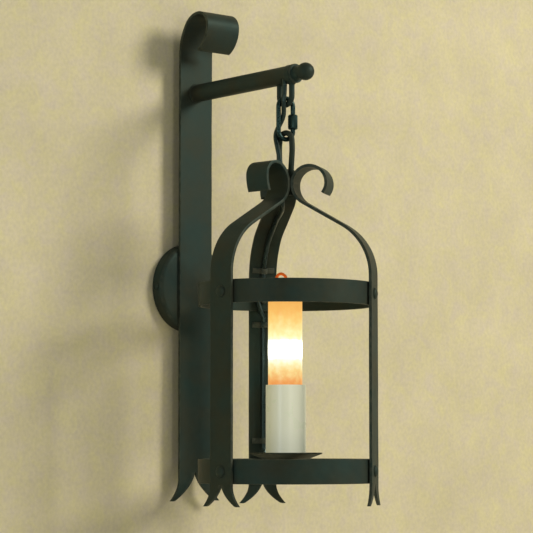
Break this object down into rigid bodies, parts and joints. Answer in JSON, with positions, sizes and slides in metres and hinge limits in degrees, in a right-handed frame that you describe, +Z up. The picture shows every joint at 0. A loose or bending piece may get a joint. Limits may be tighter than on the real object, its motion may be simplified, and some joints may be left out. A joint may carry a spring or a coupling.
{
  "type": "wall lantern",
  "caption": "Wrought-iron wall lantern: a strap with a rolled top and split foot, a straight arm, and an open barred lantern with an electric candle, hung from a screw link.",
  "frame": {"origin": "centre of the wall cup, on the wall's surface, at the back face of the mounting bar", "axes": "+Z up, +Y into the wall, +X along the wall; the arm and the lantern stand off towards -Y"},
  "size_m": [0.1889, 0.2519, 0.5276],
  "materials": {
    "iron": "black wax over forged iron, satin",
    "zinc": "zinc-plated",
    "link_steel": "darkened steel, satin",
    "sleeve_card": "cream, satin",
    "glow_shell": "translucent cream, lit from inside",
    "wick": "orange, matt",
    "opal_glass": "opal",
    "black_plastic": "black, moulded",
    "white_plastic": "white, moulded",
    "sheath": "black flex sheath, satin"
  },
  "bodies": {
    "bracket": {"wall_cup": "iron", "mounting_bar": "zinc", "cup_screw_right": "iron", "cup_screw_left": "iron", "terminal_block": "white_plastic", "wall_strap": "iron", "strap_stud_upper": "zinc", "strap_stud_lower": "zinc", "stud_nut_upper": "zinc", "stud_nut_lower": "zinc", "cable_grommet": "black_plastic", "arm_tube": "iron", "arm_finial": "iron", "arm_staple": "iron", "flex_feed": "sheath", "flex_upper_drop": "sheath"},
    "screw_link": {"quick_link": "link_steel", "flex_lower_drop": "sheath"},
    "link_nut": {"quick_link_nut": "link_steel"},
    "lantern": {"crown_loop": "iron", "bar_left": "iron", "bar_rear": "iron", "bar_right": "iron", "upper_ring": "iron", "lower_ring": "iron", "rivet_upper_left": "iron", "rivet_lower_left": "iron", "rivet_upper_rear": "iron", "rivet_lower_rear": "iron", "rivet_upper_right": "iron", "rivet_lower_right": "iron", "cross_strut": "iron", "side_entry_boss": "iron", "boss_bolt": "zinc", "drip_pan": "iron", "threaded_nipple": "zinc", "pan_nut": "zinc", "lampholder": "black_plastic", "flex_lower": "sheath", "flex_clip_1": "iron", "flex_clip_2": "iron", "flex_clip_3": "iron"},
    "sleeve": {"candle_sleeve": "sleeve_card"},
    "glow": {"glow_tube": "glow_shell", "wick": "wick"},
    "lamp": {"lamp": "opal_glass"}
  },
  "joints": [
    {"name": "quick_link_swing", "type": "hinge", "parent": "bracket", "child": "screw_link", "pos_m": [0, -0.1583, 0.1851], "axis": [0, 1, 0], "range_deg": [-15, 15], "deforming": ["flex_upper_drop"]},
    {"name": "lantern_swing", "type": "hinge", "parent": "screw_link", "child": "lantern", "pos_m": [0, -0.1583, 0.1488], "axis": [0.9511, -0.309, 0], "range_deg": [-15, 6.5], "deforming": ["flex_lower_drop"]},
    {"name": "link_nut_unscrew", "type": "slide", "parent": "screw_link", "child": "link_nut", "axis": [0, 0, 1], "range_m": [0, 0.008]},
    {"name": "candle_sleeve_lift", "type": "slide", "parent": "lantern", "child": "sleeve", "axis": [0, 0, 1], "range_m": [0, 0.07]},
    {"name": "glow_tube_lift", "type": "slide", "parent": "lantern", "child": "glow", "axis": [0, 0, 1], "range_m": [0, 0.06]},
    {"name": "lamp_unscrew", "type": "slide", "parent": "lantern", "child": "lamp", "axis": [0, 0, 1], "range_m": [0, 0.025]}
  ]
}
